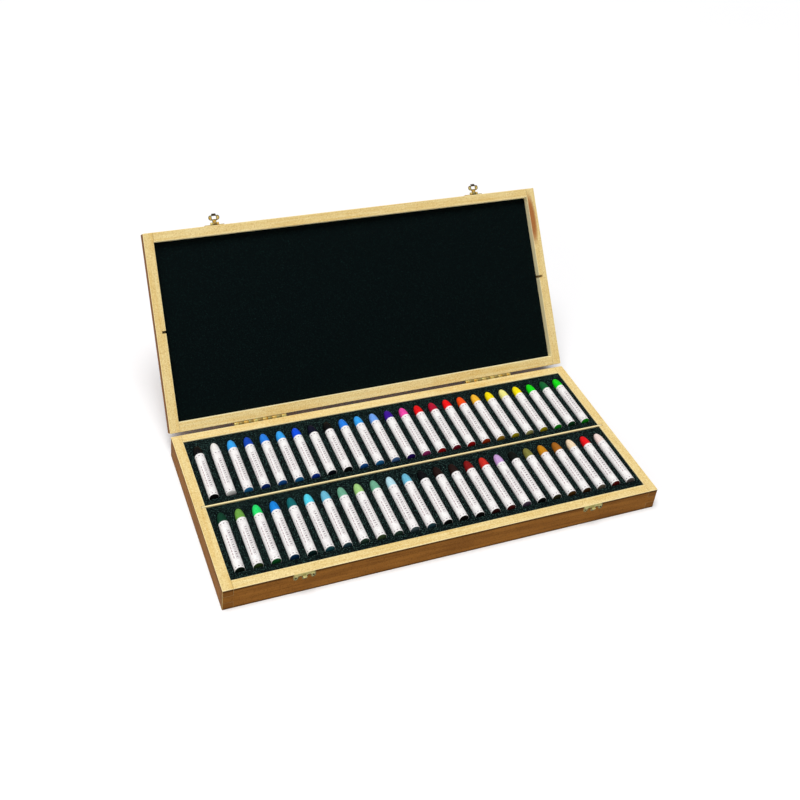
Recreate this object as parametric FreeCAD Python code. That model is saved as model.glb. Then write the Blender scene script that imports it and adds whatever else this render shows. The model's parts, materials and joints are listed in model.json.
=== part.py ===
"""Flat wooden pastel case: a base with two rows of pastels in foam, and a lid on two butt hinges.

The origin is the centre of the base's underside, +X runs along the case and +Z is up.
The front is at -Y. The lid is drawn closed and then swung open to the angle at which it stands.
"""

import FreeCAD, Part
import math
import os

V = FreeCAD.Vector

# Case, outer sizes and wood
case_length = 445.0
case_depth = 202.0
base_height = 24.5
lid_height = 13.4
wall = 10.0
panel = 3.0
rebate = 5.0
rim_gap = 0.2
base_fingers = 3
lid_fingers = 2

# Lid position: the hinge axis lies behind the back walls, between the two rims
open_angle = 128.0
axis_offset = 1.7

# Groove in the side walls, and the divider that stands in the base's
groove_width = 2.4
groove_depth = 4.0
divider_thickness = 1.8
divider_play = 0.3

# Foam
foam_play = 0.3
foam_drop = 1.0
lining_recess = 7.0

# Pastels: a body in a paper wrapper, and a bare cone with a blunt tip
pastel_radius = 4.8
pastel_length = 72.0
wrapper_thickness = 0.2
tip_length = 14.5
tip_radius = 1.9
slot_play = 0.3
slot_end_play = 0.9
row_margin = 10.4
front_margin_share = 0.47

# Butt hinges
hinge_inset = 92.5
knuckle_count = 11
knuckle_length = 5.0
knuckle_gap = 0.15
hinge_barrel_radius = 1.5
hinge_pin_radius = 0.7
hinge_bore_play = 0.05
leaf_thickness = 0.8
leaf_height = 12.0
barrel_relief = 0.4
leaf_corner = 1.5

# Latches: a plate with two knuckles on the lid, a hasp between them and a keeper on the base
latch_inset = 74.5
latch_offset = 1.7
latch_rise = 1.9
latch_barrel_radius = 1.5
latch_pin_radius = 0.7
latch_bore_play = 0.05
latch_sheet = 0.8
latch_knuckle = 2.2
hasp_knuckle = 4.2
latch_knuckle_gap = 0.15
wing_span = 21.2
wing_radius = 3.0
wing_bar = 2.8
wing_root_width = 5.2
plate_height = 7.5
keeper_drop = 0.4
hasp_waist = 4.2
hasp_lobe_radius = 2.6
hasp_lobe_spacing = 6.4
hasp_lobe_drop = 6.4
hasp_length = 10.6
hasp_lip_width = 4.4
hasp_lip_curl = 1.4
window_width = 4.6
window_height = 3.2
nose_play = 0.5
nose_reach = 2.4
nose_bevel = 1.1

overrun = 1.0
# Flats round what repeats many times, in place of a true circle
pastel_flat_count = 16
barrel_flat_count = 12

# The colours of each row, from left to right
row_colours = {
    "back": (
        "black", "white", "sky_blue", "cobalt_blue", "azure_blue",
        "sky_blue", "cobalt_blue", "navy_blue", "black", "azure_blue",
        "sky_blue", "periwinkle", "violet", "pink", "red",
        "crimson", "scarlet", "orange", "amber", "yellow",
        "pale_yellow", "yellow", "green", "deep_green", "green",
    ),
    "front": (
        "deep_green", "moss_green", "green", "azure_blue", "teal",
        "cyan", "pale_blue", "sage_green", "pale_green", "sage_green",
        "ice_blue", "pale_blue", "black", "umber", "umber",
        "crimson", "scarlet", "lilac", "black", "olive",
        "ochre", "brown", "cream", "red", "cream",
    ),
}
per_row = len(row_colours["back"])

# Places worked out from the sizes above
half_length = case_length / 2
half_depth = case_depth / 2
inner_length = case_length - 2 * wall
inner_depth = case_depth - 2 * wall
lid_rim = base_height + rim_gap
axis_height = base_height + rim_gap / 2
axis_y = half_depth + axis_offset
hinge_length = knuckle_count * knuckle_length
hinge_centre = half_length - hinge_inset
latch_centre = half_length - latch_inset
pitch = (inner_length - 2 * (foam_play + row_margin)) / (per_row - 1)


def block(x0, x1, y0, y1, z0, z1):
    """A box from its lowest and highest coordinates."""
    return Part.makeBox(x1 - x0, y1 - y0, z1 - z0, V(x0, y0, z0))


def rod(radius, x0, x1):
    """A round rod along X."""
    return Part.makeCylinder(radius, x1 - x0, V(x0, 0, 0), V(1, 0, 0))


def ring(radius, flats, x):
    """The corners of equal flats round the X axis."""
    turns = [2 * math.pi * index / flats for index in range(flats)]
    return [V(x, radius * math.cos(turn), radius * math.sin(turn)) for turn in turns]


def polygon(points):
    """A flat face from its corners."""
    return Part.Face(Part.makePolygon(points + points[:1]))


def turned(profile, flats):
    """A solid round the X axis with flats in place of its round, from (x, radius) along its outline."""
    rings = [ring(radius, flats, x) for x, radius in profile]
    faces = [polygon(rings[0]), polygon(rings[-1])]
    for near, far in zip(rings, rings[1:]):
        for index in range(flats):
            after = (index + 1) % flats
            faces.append(polygon([near[index], near[after], far[after], far[index]]))
    solid = Part.makeSolid(Part.makeShell(faces))
    if solid.Volume < 0:
        solid.reverse()
    return solid


def barrel(radius, x0, x1):
    """A many-sided rod along X, inside the radius."""
    return turned([(x0, radius), (x1, radius)], barrel_flat_count)


def barrel_bore(radius, x0, x1):
    """A many-sided hole along X, outside the radius."""
    return barrel(radius / math.cos(math.pi / barrel_flat_count), x0, x1)


def plate(outline, y0, y1):
    """An outline of (x, z) points, drawn out along Y."""
    return polygon([V(x, y0, z) for x, z in outline]).extrude(V(0, y1 - y0, 0))


def moved(shape, x, y, z):
    """A copy of a shape at another place."""
    copy = shape.copy()
    copy.translate(V(x, y, z))
    return copy


def joined(shapes):
    """Several touching solids as one, without the seams between them."""
    return shapes[0].multiFuse(shapes[1:]).removeSplitter()


def group(shapes):
    """Separate solids that share a node."""
    return Part.makeCompound(shapes)


# Walls and panels, drawn with the rim at z = 0 and the outer panel below

def panel_board(height):
    """The board that closes a half of the case, in the rebates of its four walls."""
    reach = wall - rebate
    return block(
        reach - half_length, half_length - reach,
        reach - half_depth, half_depth - reach,
        -height, panel - height,
    )


def corner_fingers(height, fingers, first):
    """The room that every other finger takes up at the four corners, starting with finger first."""
    step = height / fingers
    blocks = []
    for index in range(first, fingers, 2):
        for x in (-half_length, half_length - wall):
            for y in (-half_depth, half_depth - wall):
                blocks.append(block(x, x + wall, y, y + wall, -(index + 1) * step, -index * step))
    return blocks


def side_wall(height, fingers, side):
    """A short wall, with the groove for the divider in its inner face."""
    x0, x1 = sorted((side * half_length, side * (half_length - wall)))
    board = block(x0, x1, -half_depth, half_depth, -height, 0)
    groove = block(
        -half_length + wall - groove_depth, half_length - wall + groove_depth,
        -groove_width / 2, groove_width / 2,
        panel - height, overrun,
    )
    return board.cut(corner_fingers(height, fingers, 1) + [panel_board(height), groove])


def long_wall(height, fingers, side):
    """The front or back wall."""
    y0, y1 = sorted((side * half_depth, side * (half_depth - wall)))
    board = block(-half_length, half_length, y0, y1, -height, 0)
    return board.cut(corner_fingers(height, fingers, 0) + [panel_board(height)])


def half_case(name, height, fingers):
    """The four walls of one half of the case, by node name."""
    return {
        name + "_left_wall": side_wall(height, fingers, -1),
        name + "_right_wall": side_wall(height, fingers, 1),
        name + "_front_wall": long_wall(height, fingers, -1),
        name + "_back_wall": long_wall(height, fingers, 1),
    }


# What lies in the base

def row_divider():
    """The strip between the two rows. It stands on the floor, with its ends in the grooves."""
    reach = inner_length / 2 + groove_depth - divider_play
    half = divider_thickness / 2
    return block(-reach, reach, -half, half, panel, base_height)


def slot_place(number):
    """Where a slot lies along the row, counted from 1 at the left."""
    return (number - (per_row + 1) / 2) * pitch


tray_front = divider_thickness / 2 + foam_play
tray_depth = inner_depth / 2 - foam_play - tray_front
tray_top = base_height - foam_drop
slot_length = pastel_length + 2 * slot_end_play
slot_front_margin = front_margin_share * (tray_depth - slot_length)


def tray_origin(row):
    """The y of a tray's front edge."""
    return tray_front if row == "back" else -tray_front - tray_depth


def foam_tray(row):
    """A block of foam with a slot for each pastel, which narrows round the tip and holds the lower half."""
    reach = inner_length / 2 - foam_play
    front = tray_origin(row)
    foam = block(-reach, reach, front, front + tray_depth, panel, tray_top)
    half, end_half = pastel_radius + slot_play, tip_radius + slot_play
    shoulder = slot_length - tip_length - slot_end_play
    outline = [
        V(-half, 0, 0), V(half, 0, 0), V(half, shoulder, 0),
        V(end_half, slot_length, 0), V(-end_half, slot_length, 0), V(-half, shoulder, 0),
    ]
    slot = polygon(outline).extrude(V(0, 0, pastel_radius + overrun))
    y, z = front + slot_front_margin, tray_top - pastel_radius
    return foam.cut([moved(slot, slot_place(number), y, z) for number in range(1, per_row + 1)])


def pastel():
    """One pastel in its wrapper, drawn along +Y from its flat end."""
    paper_end = pastel_length - tip_length
    bare = pastel_radius - wrapper_thickness
    outline = [
        (0, pastel_radius), (paper_end, pastel_radius),
        (paper_end, bare), (pastel_length, tip_radius),
    ]
    stick = turned(outline, pastel_flat_count)
    stick.rotate(V(0, 0, 0), V(0, 0, 1), 90)
    return stick


def pastels():
    """The pastels of each colour as one node of separate solids, each on the floor of its slot."""
    stick = pastel()
    sticks = {}
    for row, colours in row_colours.items():
        front = tray_origin(row) + slot_front_margin + slot_end_play
        for index, colour in enumerate(colours):
            sticks.setdefault("pastels_" + colour, []).append(
                moved(stick, slot_place(index + 1), front, tray_top))
    return {name: group(shapes) for name, shapes in sticks.items()}


# Hinges, drawn about their own axis with the leaf standing on the case's back face

def knuckle_span(index):
    """The start and end of a knuckle along the axis."""
    start = index * knuckle_length - hinge_length / 2
    return start + knuckle_gap / 2, start + knuckle_length - knuckle_gap / 2


def hinge_leaf(first):
    """A leaf that hangs below the axis, with every other knuckle from first on."""
    clear = hinge_barrel_radius + barrel_relief
    outline = [
        (-hinge_length / 2, -clear), (-hinge_length / 2, leaf_corner - leaf_height),
        (leaf_corner - hinge_length / 2, -leaf_height), (hinge_length / 2 - leaf_corner, -leaf_height),
        (hinge_length / 2, leaf_corner - leaf_height), (hinge_length / 2, -clear),
    ]
    pieces = [plate(outline, -axis_offset, leaf_thickness - axis_offset)]
    for index in range(first, knuckle_count, 2):
        x0, x1 = knuckle_span(index)
        pieces.append(block(x0, x1, -axis_offset, leaf_thickness - axis_offset, -clear, 0))
        pieces.append(barrel(hinge_barrel_radius, x0, x1))
    bore = barrel_bore(
        hinge_pin_radius + hinge_bore_play,
        -hinge_length / 2 - overrun, hinge_length / 2 + overrun,
    )
    return joined(pieces).cut(bore)


def hinge_pin():
    """The pin through all the knuckles."""
    return rod(hinge_pin_radius, -hinge_length / 2, hinge_length / 2)


# Latches, drawn about the hasp's axis, with the case's front face at y = latch_offset

def wing_plate(rim_edge, far_edge):
    """A plate with a bar along its edge near the rim, a root across its middle and a lobe at each end."""
    way = math.copysign(1, rim_edge - far_edge)
    y0, y1 = latch_offset - latch_sheet, latch_offset
    reach, half = wing_span / 2 - wing_radius, wing_root_width / 2
    lobe_height = far_edge + way * wing_radius
    bar = sorted((rim_edge, rim_edge - way * wing_bar))
    root = sorted((rim_edge, far_edge))
    arm = sorted((rim_edge, lobe_height))
    pieces = [block(-reach, reach, y0, y1, *bar), block(-half, half, y0, y1, *root)]
    for x in (-reach, reach):
        pieces.append(Part.makeCylinder(wing_radius, latch_sheet, V(x, y0, lobe_height), V(0, 1, 0)))
        pieces.append(block(x - half, x + half, y0, y1, *arm))
    return pieces


hasp_half = hasp_knuckle / 2
barrel_reach = hasp_half + latch_knuckle_gap + latch_knuckle
latch_bore = latch_pin_radius + latch_bore_play


def latch_plate():
    """The plate on the lid, whose two knuckles stand beside the hasp's."""
    bottom = latch_barrel_radius - latch_rise
    clear = latch_barrel_radius + latch_knuckle_gap
    room = hasp_half + latch_knuckle_gap
    pieces = wing_plate(bottom, bottom + plate_height)
    for x0, x1 in ((-barrel_reach, -room), (room, barrel_reach)):
        pieces.append(barrel(latch_barrel_radius, x0, x1))
    shape = joined(pieces)
    hollow = block(-room, room, -clear, latch_offset + overrun, bottom - overrun, clear)
    return shape.cut([hollow, barrel_bore(latch_bore, -barrel_reach - overrun, barrel_reach + overrun)])


def hasp():
    """The hasp as it hangs when closed: a neck, two lobes round a window, and a lip that curls outwards."""
    y0, y1 = -latch_sheet / 2, latch_sheet / 2
    pieces = [
        barrel(latch_barrel_radius, -hasp_half, hasp_half),
        block(-hasp_waist / 2, hasp_waist / 2, y0, y1, -hasp_lobe_drop, 0),
        block(-hasp_lip_width / 2, hasp_lip_width / 2, y0, y1, -hasp_length, -hasp_lobe_drop),
        block(
            -hasp_lip_width / 2, hasp_lip_width / 2, -hasp_lip_curl, y1,
            -hasp_length, latch_sheet - hasp_length,
        ),
    ]
    for x in (-hasp_lobe_spacing / 2, hasp_lobe_spacing / 2):
        centre = V(x, y0, -hasp_lobe_drop)
        pieces.append(Part.makeCylinder(hasp_lobe_radius, latch_sheet, centre, V(0, 1, 0)))
    window = block(
        -window_width / 2, window_width / 2, -overrun, overrun,
        -hasp_lobe_drop - window_height / 2, window_height / 2 - hasp_lobe_drop,
    )
    return joined(pieces).cut([window, barrel_bore(latch_bore, -hasp_half - overrun, hasp_half + overrun)])


def keeper():
    """The plate on the base, with a nose that comes through the hasp's window."""
    top = -latch_rise - rim_gap - keeper_drop
    half = window_width / 2 - nose_play
    high = window_height / 2 - nose_play - hasp_lobe_drop
    low = nose_play - window_height / 2 - hasp_lobe_drop
    root, end = latch_offset - latch_sheet, latch_offset - latch_sheet - nose_reach
    outline = [
        V(-half, root, high), V(-half, end, high),
        V(-half, end + nose_bevel, low), V(-half, root, low),
    ]
    nose = polygon(outline).extrude(V(2 * half, 0, 0))
    return joined(wing_plate(top, top - plate_height) + [nose])


def latch_pin():
    """The pin through the three knuckles."""
    return rod(latch_pin_radius, -barrel_reach, barrel_reach)


# The whole case

def over_rim(shape):
    """A shape drawn below the rim, turned over to stand above it."""
    return shape.mirror(V(0, 0, 0), V(0, 0, 1))


def base_nodes():
    """Everything that stays with the base."""
    nodes = {"base_floor": moved(panel_board(base_height), 0, 0, base_height)}
    for name, shape in half_case("base", base_height, base_fingers).items():
        nodes[name] = moved(shape, 0, 0, base_height)
    nodes["row_divider"] = row_divider()
    nodes["foam_tray_back"] = foam_tray("back")
    nodes["foam_tray_front"] = foam_tray("front")
    nodes.update(pastels())
    for side, x in (("left", -hinge_centre), ("right", hinge_centre)):
        nodes["hinge_" + side + "_base_leaf"] = moved(hinge_leaf(0), x, axis_y, axis_height)
        nodes["hinge_" + side + "_pin"] = moved(hinge_pin(), x, axis_y, axis_height)
    for side, x in (("left", -latch_centre), ("right", latch_centre)):
        y, z = -half_depth - latch_offset, lid_rim + latch_rise
        nodes["latch_" + side + "_keeper"] = moved(keeper(), x, y, z)
    return nodes


def lid_nodes():
    """Everything that swings with the lid, drawn closed."""
    nodes = {"lid_panel": moved(over_rim(panel_board(lid_height)), 0, 0, lid_rim)}
    for name, shape in half_case("lid", lid_height, lid_fingers).items():
        nodes[name] = moved(over_rim(shape), 0, 0, lid_rim)
    reach, depth = inner_length / 2 - foam_play, inner_depth / 2 - foam_play
    nodes["lid_lining"] = block(
        -reach, reach, -depth, depth,
        lid_rim + lining_recess, lid_rim + lid_height - panel,
    )
    for side, x in (("left", -hinge_centre), ("right", hinge_centre)):
        nodes["hinge_" + side + "_lid_leaf"] = moved(over_rim(hinge_leaf(1)), x, axis_y, axis_height)
    for side, x in (("left", -latch_centre), ("right", latch_centre)):
        y, z = -half_depth - latch_offset, lid_rim + latch_rise
        standing = hasp()
        standing.rotate(V(0, 0, 0), V(-1, 0, 0), 90)
        nodes["latch_" + side + "_plate"] = moved(latch_plate(), x, y, z)
        nodes["latch_" + side + "_pin"] = moved(latch_pin(), x, y, z)
        nodes["latch_" + side + "_hasp"] = moved(standing, x, y, z)
    return nodes


def main():
    os.makedirs("parts", exist_ok=True)
    nodes = base_nodes()
    for name, shape in lid_nodes().items():
        shape.rotate(V(0, axis_y, axis_height), V(-1, 0, 0), open_angle)
        nodes[name] = shape
    for name, shape in nodes.items():
        shape.exportStep(os.path.join("parts", name + ".step"))
    y, z = -half_depth - latch_offset - axis_y, lid_rim + latch_rise - axis_height
    turn = math.radians(open_angle)
    latch_y = axis_y + y * math.cos(turn) + z * math.sin(turn)
    latch_z = axis_height - y * math.sin(turn) + z * math.cos(turn)
    print("lid axis at y, z:", axis_y, axis_height)
    print("hasp axis at y, z:", round(latch_y, 4), round(latch_z, 4))
    print("nodes:", len(nodes), "solids:", sum(len(shape.Solids) for shape in nodes.values()))


main()
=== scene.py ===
"""Looks of a flat wooden pastel case: boards, foam, pastels in paper, brass hinges and latches, and the studio.

Lengths are in metres, in the case's own frame: +X along the case, -Y the front, +Z up.
"""

import json
import math
import random

import bmesh
import bpy
from bpy.props import FloatProperty, FloatVectorProperty, IntProperty, PointerProperty
from mathutils import Matrix, Vector


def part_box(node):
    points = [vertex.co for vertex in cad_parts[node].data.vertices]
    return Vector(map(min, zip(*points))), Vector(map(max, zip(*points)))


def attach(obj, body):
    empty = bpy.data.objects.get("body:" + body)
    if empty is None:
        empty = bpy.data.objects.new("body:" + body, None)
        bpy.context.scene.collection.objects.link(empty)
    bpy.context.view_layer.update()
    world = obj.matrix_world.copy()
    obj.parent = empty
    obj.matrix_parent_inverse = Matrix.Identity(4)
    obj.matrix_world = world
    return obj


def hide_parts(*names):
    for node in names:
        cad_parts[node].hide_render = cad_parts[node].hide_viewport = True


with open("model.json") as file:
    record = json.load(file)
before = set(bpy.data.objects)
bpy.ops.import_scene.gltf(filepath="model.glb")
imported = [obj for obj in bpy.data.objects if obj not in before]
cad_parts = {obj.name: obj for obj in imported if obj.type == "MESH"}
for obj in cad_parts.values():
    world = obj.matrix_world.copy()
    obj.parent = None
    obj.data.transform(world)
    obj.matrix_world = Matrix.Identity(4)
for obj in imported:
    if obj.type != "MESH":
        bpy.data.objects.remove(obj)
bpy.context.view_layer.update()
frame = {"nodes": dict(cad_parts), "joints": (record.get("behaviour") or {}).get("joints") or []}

bl_info = {
    "name": "Pastel Case",
    "version": (1, 0, 0),
    "blender": (4, 5, 0),
    "location": "3D View > Sidebar > Pastel Case",
    "description": "Builds a wooden case of paper-wrapped pastels and the studio round it",
    "category": "Add Mesh",
}

MM = 0.001

# What the frame says of the case, its lid and its hasps
case_low, wall_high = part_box("base_left_wall")
half_length = -case_low.x
half_depth = -case_low.y
rim_height = wall_high.z
wall = wall_high.x - case_low.x
inner_length = half_length - wall
inner_depth = half_depth - wall
joints = {joint["name"]: joint for joint in frame["joints"]}
open_angle = -math.radians(joints["lid_hinge"]["range_deg"][0])
lid_axis = Vector(joints["lid_hinge"]["pos_m"])
shut = Matrix.Translation(lid_axis) @ Matrix.Rotation(open_angle, 4, "X") @ Matrix.Translation(-lid_axis)
swung_open = shut.inverted()
lid_rim_height = min((shut @ vertex.co).z for vertex in frame["nodes"]["lid_left_wall"].data.vertices)
lid_top_height = max((shut @ vertex.co).z for vertex in frame["nodes"]["lid_panel"].data.vertices)

# Each pigment: the colour group that it belongs to in the frame, and its colour as seen on paper
PIGMENTS = {
    "ivory_black": ("black", (3, 4, 8)),
    "green_black": ("black", (7, 12, 9)),
    "titanium_white": ("white", (244, 242, 238)),
    "sky_blue": ("sky_blue", (54, 166, 244)),
    "cobalt_blue": ("cobalt_blue", (14, 70, 182)),
    "ultramarine": ("cobalt_blue", (10, 80, 232)),
    "azure_blue": ("azure_blue", (38, 128, 232)),
    "cerulean": ("azure_blue", (20, 132, 222)),
    "navy_blue": ("navy_blue", (5, 9, 36)),
    "periwinkle": ("periwinkle", (112, 166, 242)),
    "violet": ("violet", (62, 15, 150)),
    "pink": ("pink", (242, 72, 170)),
    "red": ("red", (234, 18, 26)),
    "crimson": ("crimson", (180, 15, 50)),
    "oxblood": ("crimson", (135, 20, 20)),
    "scarlet": ("scarlet", (246, 16, 20)),
    "vermilion": ("scarlet", (205, 45, 35)),
    "orange": ("orange", (250, 82, 20)),
    "amber": ("amber", (250, 190, 52)),
    "yellow": ("yellow", (255, 230, 10)),
    "pale_yellow": ("pale_yellow", (242, 236, 142)),
    "leaf_green": ("green", (18, 220, 24)),
    "spring_green": ("green", (40, 226, 110)),
    "deep_green": ("deep_green", (15, 100, 50)),
    "pine_green": ("deep_green", (6, 60, 40)),
    "moss_green": ("moss_green", (110, 165, 70)),
    "teal": ("teal", (15, 106, 110)),
    "cyan": ("cyan", (86, 216, 240)),
    "pale_blue": ("pale_blue", (108, 186, 214)),
    "sage_green": ("sage_green", (112, 175, 145)),
    "pale_green": ("pale_green", (165, 210, 130)),
    "ice_blue": ("ice_blue", (190, 230, 242)),
    "umber": ("umber", (34, 16, 13)),
    "lilac": ("lilac", (206, 166, 222)),
    "olive": ("olive", (130, 126, 60)),
    "ochre": ("ochre", (206, 136, 20)),
    "brown": ("brown", (165, 100, 26)),
    "cream": ("cream", (250, 226, 190)),
    "blush": ("cream", (246, 226, 220)),
}

# The pigments of each row, from left to right
ROWS = {
    "back": (
        "ivory_black", "titanium_white", "sky_blue", "cobalt_blue", "azure_blue",
        "sky_blue", "ultramarine", "navy_blue", "ivory_black", "azure_blue",
        "sky_blue", "periwinkle", "violet", "pink", "red",
        "crimson", "scarlet", "orange", "amber", "yellow",
        "pale_yellow", "yellow", "leaf_green", "deep_green", "leaf_green",
    ),
    "front": (
        "pine_green", "moss_green", "spring_green", "cerulean", "teal",
        "cyan", "pale_blue", "sage_green", "pale_green", "sage_green",
        "ice_blue", "pale_blue", "ivory_black", "umber", "umber",
        "oxblood", "vermilion", "lilac", "green_black", "olive",
        "ochre", "brown", "cream", "red", "blush",
    ),
}


def paint(red, green, blue):
    """A colour picked on a screen, from 0 to 255, as the linear one that shaders take."""
    shares = [value / 255 for value in (red, green, blue)]
    return tuple(s / 12.92 if s <= 0.04045 else ((s + 0.055) / 1.055) ** 2.4 for s in shares)


def colour(name, description, *screen):
    """A colour that a user can change."""
    return FloatVectorProperty(
        name=name, description=description, subtype="COLOR", size=3, min=0, max=1, default=paint(*screen))


def length(name, description, millimetres):
    """A length that a user can change, given here in millimetres."""
    return FloatProperty(
        name=name, description=description, subtype="DISTANCE", unit="LENGTH", min=0,
        default=millimetres * MM, precision=5)


def angle(name, description, degrees):
    """An angle that a user can change, given here in degrees."""
    return FloatProperty(
        name=name, description=description, subtype="ANGLE", max=math.pi, default=math.radians(degrees))


def share(name, description, default, high=1.0):
    """A plain number that a user can change."""
    return FloatProperty(name=name, description=description, min=0, max=high, default=default)


# Settings


class PastelCaseWoodSettings(bpy.types.PropertyGroup):
    """Sizes and colours of the boards."""

    eased_edge: length("Eased Edge", "Width rounded off the edges that a hand meets", 0.55)
    joint_edge: length("Joint Edge", "Width rounded off the edges inside the corner joints", 0.14)
    pale: colour("Sanded Wood", "Light tone of the rims and inner faces", 232, 211, 152)
    honey: colour("Sanded Grain", "Darker tone of the grain on rims and inner faces", 218, 184, 110)
    # The outer faces' browns are partly a deeper tone of the wood and partly painted shade.
    tan: colour("Outer Wood Tone And Shade", "Light tone of the outer faces", 158, 104, 42)
    chestnut: colour("Outer Grain Tone And Shade", "Darker tone of the grain on the outer faces", 122, 76, 28)
    # Painted highlight on the rims' eased edges and painted light on the inner faces; also the pale flecks of the
    # grain.
    highlight_and_pale_flecks: colour("Edge Highlight And Pale Flecks", "Tone of the eased edges of the rims", 255, 243, 194)
    edge_shade: colour("Edge Shade", "Tone of the outer faces along their edges", 74, 44, 14)
    # An orange-brown patch near the top of the lid's right wall, on its rim and inner face.
    right_wall_patch: colour("Right Wall Patch", "Tone of the orange-brown patch in the lid's right wall", 150, 72, 18)


class PastelCaseFoamSettings(bpy.types.PropertyGroup):
    """Sizes and colours of the foam trays and the lid's pad."""

    row_margin: length("Row Margin", "From the tray's end to the first pastel's axis", 10.4)
    margin_share: share("Front Margin Share", "How much of the spare depth lies in front of the slots", 0.47)
    slot_play: length("Slot Play", "Room beside a pastel in its slot", 0.4)
    end_play: length("End Play", "Room at each end of a pastel in its slot", 0.9)
    lip: length("Slot Lip", "Width of the softened edge round a slot", 0.3)
    pad_edge: length("Pad Edge", "Width rounded off the lid pad's edges", 0.9)
    foam: colour("Foam", "Ground colour of the trays", 1, 7, 8)
    speck: colour("Foam Speck", "Colour of the cells that catch the light", 76, 110, 103)
    pad: colour("Lid Pad", "Ground colour of the lid's pad", 1, 8, 9)
    pad_speck: colour("Lid Pad Speck", "Colour of the pad's cells that catch the light", 12, 32, 30)


class PastelCaseStickSettings(bpy.types.PropertyGroup):
    """Sizes and colours of the pastels and their wrappers."""

    wrapper_radius: length("Wrapper Radius", "Outer radius of the paper", 4.8)
    paper: length("Paper", "Thickness of the wound paper", 0.18)
    stick_length: length("Stick Length", "Length of a pastel", 72.0)
    tip_length: length("Tip Length", "Length of the bare tip", 14.5)
    paper_start: length("Paper Start", "From the flat end to the paper's edge", 0.2)
    end_shade: share("End Shade", "How much darker the pastels' flat ends are", 0.95)
    stray: length("Stray", "How far a pastel may lie from its place along the slot", 0.35)
    paper_white: colour("Paper White", "Ground colour of the wrapper", 240, 238, 236)
    paper_shade: colour("Paper Shade", "Colour of the wrapper's faint mottling", 206, 196, 198)
    print_rose: colour("Rose Print", "Colour of the wrapper's dots and dashes", 140, 100, 112)
    print_grey: colour("Grey Print", "Colour of the wrapper's chain and ticks", 96, 72, 84)
    seed: IntProperty(name="Seed", description="Changes how the pastels lie", default=7, min=0)


class PastelCasePigmentSettings(bpy.types.PropertyGroup):
    """The colour of each pastel."""

    __annotations__ = {
        pigment: colour(pigment.replace("_", " ").title(), "Colour of this pastel", *screen)
        for pigment, (_, screen) in PIGMENTS.items()
    }


class PastelCaseMetalSettings(bpy.types.PropertyGroup):
    """Sizes and colours of the hinges and latches."""

    sheet: length("Sheet", "Thickness of the sheet brass", 0.8)
    leaf_edge: length("Leaf Edge", "Width rounded off the edges of the sheet brass", 0.15)
    ring: length("Ring", "Width of the dark ring pressed round the latches' sheets", 0.6)
    leaf_corner: length("Leaf Corner", "Radius of a hinge leaf's corners", 1.5)
    screw_radius: length("Screw Radius", "Radius of a hinge screw's head", 1.9)
    screw_rise: length("Screw Rise", "How far a screw's head stands out of its leaf", 0.3)
    nail_radius: length("Nail Radius", "Radius of a latch nail's head", 1.1)
    gold: colour("Brass", "Clean brass", 214, 156, 44)
    green_gold: colour("Pale Brass", "Greenish, paler brass", 206, 206, 138)
    dark_brass: colour("Dark Brass", "Brass that has darkened", 40, 28, 16)


class PastelCaseStageSettings(bpy.types.PropertyGroup):
    """Camera, light and floor."""

    camera_place: FloatVectorProperty(
        name="Camera Place", description="Where the camera stands", subtype="TRANSLATION", unit="LENGTH",
        default=(-0.41058, -0.76318, 0.82908), precision=5)
    azimuth: angle("Azimuth", "Which way the camera looks, from +Y towards +X", 25.521)
    elevation: angle("Elevation", "How far down the camera looks", 32.218)
    roll: angle("Roll", "How far the camera's right side is lifted", 6.885)
    lens: FloatProperty(name="Lens", description="Focal length on a 36 mm sensor", default=52.406, min=1)
    shift: FloatProperty(name="Shift", description="Vertical shift of the lens", default=-0.2)
    floor_size: length("Floor Size", "Width of the floor", 12000)
    floor: colour("Floor", "Colour of the floor", 247, 247, 248)
    sky: share("Sky", "Strength of the light from all round", 0.14, 10)
    key: share("Key Strength", "Strength of the broad light overhead", 3.05, 100)
    key_angle: angle("Key Angle", "How broad the light overhead looks", 36)
    fill: share("Fill Power", "Power of the soft light at the front left, in watts", 7.0, 1000)
    fill_size: length("Fill Size", "Width of the soft light at the front left", 1200)


# Shader maths and materials


class Socket:
    """A shader socket. In a Python expression it adds the Math nodes that the expression needs."""

    def __init__(self, finish, socket):
        self.finish = finish
        self.socket = socket

    def math(self, operation, *others):
        """This value and any others through one Math node."""
        inputs = dict(enumerate((self, *others)))
        return self.finish.node("ShaderNodeMath", {"operation": operation}, inputs)

    def __add__(self, other):
        return self.math("ADD", other)

    def __sub__(self, other):
        return self.math("SUBTRACT", other)

    def __rsub__(self, other):
        return self.finish.node("ShaderNodeMath", {"operation": "SUBTRACT"}, {0: other, 1: self})

    def __mul__(self, other):
        return self.math("MULTIPLY", other)

    def __truediv__(self, other):
        return self.math("DIVIDE", other)

    def __pow__(self, other):
        return self.math("POWER", other)

    def __abs__(self):
        return self.math("ABSOLUTE")

    __radd__ = __add__
    __rmul__ = __mul__

    def sine(self):
        """The sine of the value, in radians."""
        return self.math("SINE")

    def part(self):
        """The value's fraction: a saw that restarts at every whole number."""
        return self.math("FRACT")

    def whole(self):
        """The whole number below the value."""
        return self.math("FLOOR")

    def step(self, low, high):
        """Rises softly from 0 at low to 1 at high, or falls where low is above high."""
        if low > high:
            return 1 - self.step(high, low)
        smooth = {"interpolation_type": "SMOOTHSTEP"}
        return self.finish.node("ShaderNodeMapRange", smooth, {0: self, 1: low, 2: high, 3: 0.0, 4: 1.0})

    def band(self, middle, half, soft):
        """1 within half of the middle, with soft edges."""
        return abs(self - middle).step(half + soft, half - soft)


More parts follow.
